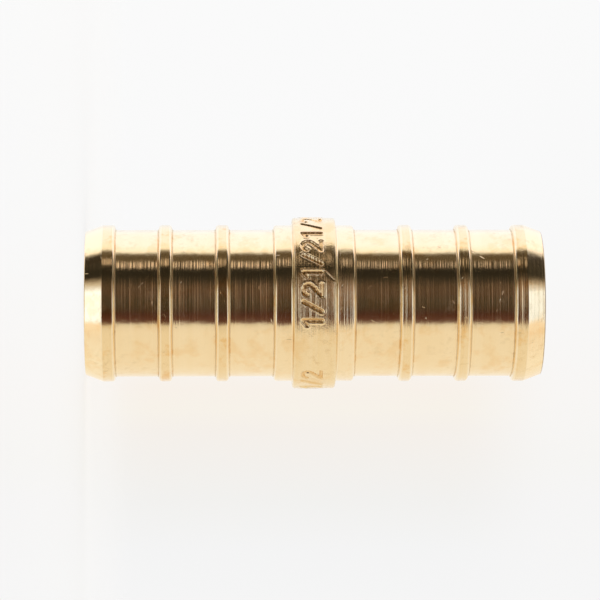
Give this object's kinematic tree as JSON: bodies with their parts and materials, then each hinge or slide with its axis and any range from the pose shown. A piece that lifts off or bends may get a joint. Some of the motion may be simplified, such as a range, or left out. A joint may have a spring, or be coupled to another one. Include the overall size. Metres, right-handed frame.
{
  "type": "pex crimp coupling",
  "caption": "Straight brass coupling with a ribbed insert at each end and a central stop band; joins half-inch PEX tubing end to end under crimp rings.",
  "frame": {"origin": "centre of the lower end face, on the axis of the waterway", "axes": "+Z runs along the waterway from the lower end to the upper end; the coupling stands on its lower end and is round about Z"},
  "size_m": [0.0132, 0.0132, 0.0352],
  "materials": {
    "brass": "turned and bright, with fine tool rings in the grooves"
  },
  "bodies": {
    "root": {"coupling": "brass"}
  },
  "joints": []
}
